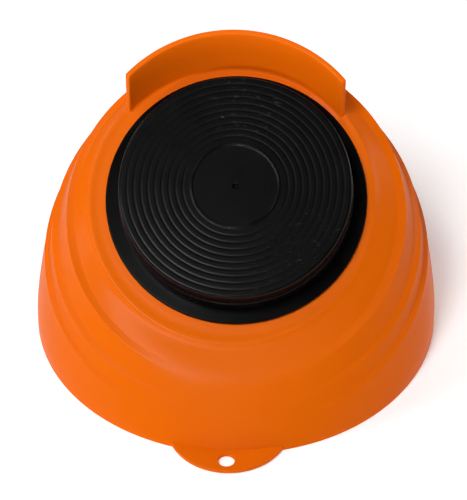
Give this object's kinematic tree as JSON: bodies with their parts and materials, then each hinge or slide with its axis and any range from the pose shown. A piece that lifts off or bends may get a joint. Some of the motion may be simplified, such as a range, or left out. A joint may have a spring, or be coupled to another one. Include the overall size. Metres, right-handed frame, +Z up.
{
  "type": "pheromone insect trap",
  "caption": "Dome-shaped insect trap with an inclined black vent cap, a curved rain guard, a hang tab and a lure basket inside.",
  "frame": {"origin": "middle of the footprint on the ground plane, halfway between the hang tab's tip and the rim's back; the rim circle's centre lies 4.85 mm behind it", "axes": "+Z up, -Y towards the hang tab and the low side of the inclined cap face; symmetrical about X = 0, except that the face's ridge and guard stand 1.5 mm to its -X side"},
  "size_m": [0.15, 0.1598, 0.0981],
  "materials": {
    "orange_moulding": "satin moulded plastic",
    "black_moulding": "satin moulded plastic",
    "gasket_rubber": "matt",
    "lure_rubber": "matt",
    "membrane_felt": "matt breathable felt",
    "natural_plastic": "satin translucent white",
    "sticky_card": "glossy glue on coated card"
  },
  "bodies": {
    "base": {"base_pan": "black_moulding", "entry_funnel": "black_moulding", "sticky_liner": "sticky_card"},
    "dome": {"dome_shell": "orange_moulding", "cap_collar": "black_moulding", "collar_lock_ring": "black_moulding"},
    "seal": {"cap_gasket": "gasket_rubber"},
    "cap": {"vent_cap": "black_moulding", "vent_membrane": "membrane_felt"},
    "basket": {"lure_basket": "natural_plastic", "pheromone_lure": "lure_rubber"},
    "basket_floor": {"basket_base": "natural_plastic"}
  },
  "joints": [
    {"name": "dome_lift", "type": "slide", "parent": "base", "child": "dome", "axis": [0, 0, 1], "range_m": [0, 0.08]},
    {"name": "cap_lift", "type": "slide", "parent": "dome", "child": "seal", "axis": [0, -0.509, 0.8607], "range_m": [0, 0.06]},
    {"name": "cap_turn", "type": "hinge", "parent": "seal", "child": "cap", "pos_m": [0, 0.00485, 0.0562], "axis": [0, -0.509, 0.8607], "range_deg": [0, 90]},
    {"name": "basket_pull", "type": "slide", "parent": "cap", "child": "basket", "axis": [0, 0.509, -0.8607], "range_m": [0, 0.01]},
    {"name": "basket_base_pull", "type": "slide", "parent": "basket", "child": "basket_floor", "axis": [0, 0.509, -0.8607], "range_m": [0, 0.008]}
  ]
}
